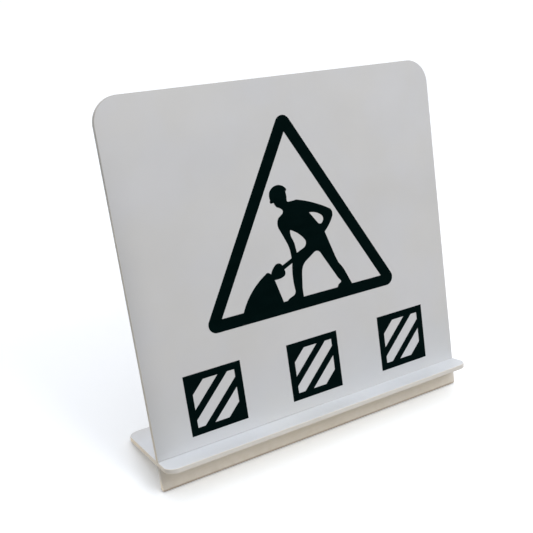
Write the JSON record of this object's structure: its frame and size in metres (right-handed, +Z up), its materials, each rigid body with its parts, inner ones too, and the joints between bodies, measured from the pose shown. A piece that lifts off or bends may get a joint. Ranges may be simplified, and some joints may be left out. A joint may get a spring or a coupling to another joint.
{
  "type": "stand sign",
  "caption": "Free-standing warning sign: a square panel and a long base of white plastic sheet, slotted and crossed at right angles so that it leans back, with black film graphics in front.",
  "frame": {"origin": "on the floor, under the middle of the whole stand", "axes": "+Z up, +X along the base plate to the right of someone reading the sign, and the sign faces -Y"},
  "size_m": [0.3, 0.1028, 0.2886],
  "materials": {
    "white_sheet": "satin",
    "black_film": "satin"
  },
  "bodies": {
    "sign": {"sign_panel": "white_sheet", "warning_triangle_film": "black_film", "hatch_mark_left": "black_film", "hatch_mark_middle": "black_film", "hatch_mark_right": "black_film"},
    "base": {"base_plate": "white_sheet"}
  },
  "joints": [
    {"name": "base_slide", "type": "slide", "parent": "sign", "child": "base", "axis": [1, 0, 0], "range_m": [-0.31, 0]}
  ]
}
